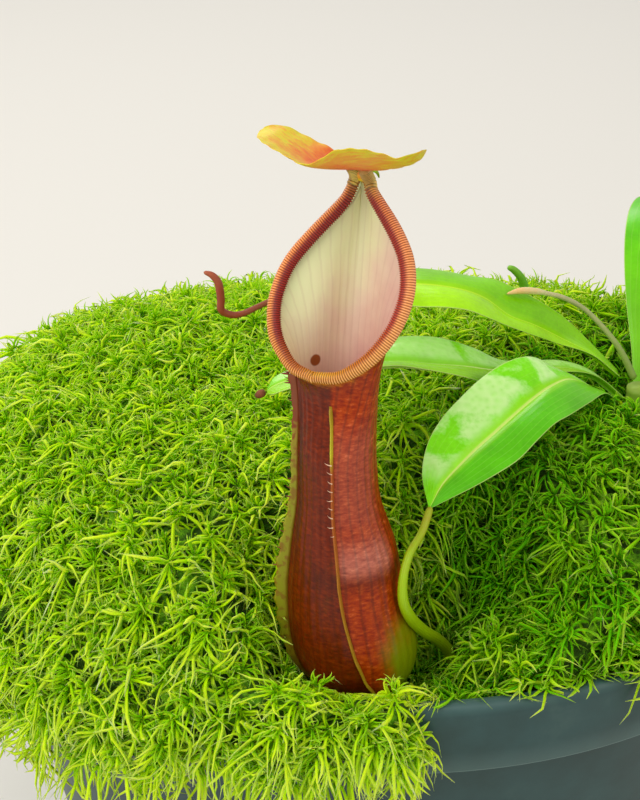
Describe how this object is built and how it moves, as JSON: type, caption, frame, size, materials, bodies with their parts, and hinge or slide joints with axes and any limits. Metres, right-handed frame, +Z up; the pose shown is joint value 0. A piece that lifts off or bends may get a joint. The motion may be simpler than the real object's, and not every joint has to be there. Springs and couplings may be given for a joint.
{
  "type": "potted pitcher plant",
  "caption": "Pitcher plant in a round plastic pan of live moss, with one large red-brown ribbed-lipped pitcher, its leaves, tendrils and stem.",
  "frame": {"origin": "centre of the pot's underside", "axes": "+Z up, -Y is the front, where the large pitcher stands"},
  "size_m": [0.2956, 0.2279, 0.2521],
  "materials": {
    "pot_plastic": "injection-moulded plastic, dark blue-green, slightly scuffed",
    "potting_mix": "damp bark and peat mix",
    "live_moss": "living sphagnum, soft and wet",
    "plant_stem": "waxy green plant stem",
    "roots": "thin dark roots",
    "leaf_blade": "waxy, glossy green leaf",
    "tendril": "smooth yellow-green tendril",
    "pitcher_wall": "dark red-brown pitcher wall, waxy, mottled",
    "peristome": "ribbed, glossy orange-red lip",
    "pitcher_lid": "yellow-green lid with orange-red veins",
    "pitcher_wing": "thin yellow-green fringed wing",
    "dry_tendril": "red-brown curled tendril",
    "dry_tip": "dry brown leaf tip",
    "new_leaf": "pale orange rolled leaf bud",
    "shoot": "soft green shoot"
  },
  "bodies": {
    "root": {"pot": "pot_plastic", "potting_mix": "potting_mix", "live_moss": "live_moss", "main_stem": "plant_stem", "roots": "roots", "front_leaf": "leaf_blade", "upper_leaf": "leaf_blade", "middle_leaf": "leaf_blade", "right_leaf": "leaf_blade", "back_leaf": "leaf_blade", "low_leaf": "leaf_blade", "front_tendril": "tendril", "right_tendril": "tendril", "back_tendril": "tendril", "low_tendril": "tendril", "lid_spur": "tendril", "pitcher_cup": "pitcher_wall", "pitcher_peristome": "peristome", "pitcher_lid": "pitcher_lid", "pitcher_left_wing": "pitcher_wing", "pitcher_right_wing": "pitcher_wing", "upper_tendril": "dry_tendril", "middle_leaf_dry_tip": "dry_tip", "new_leaf": "new_leaf", "curled_shoot": "shoot"}
  },
  "joints": []
}
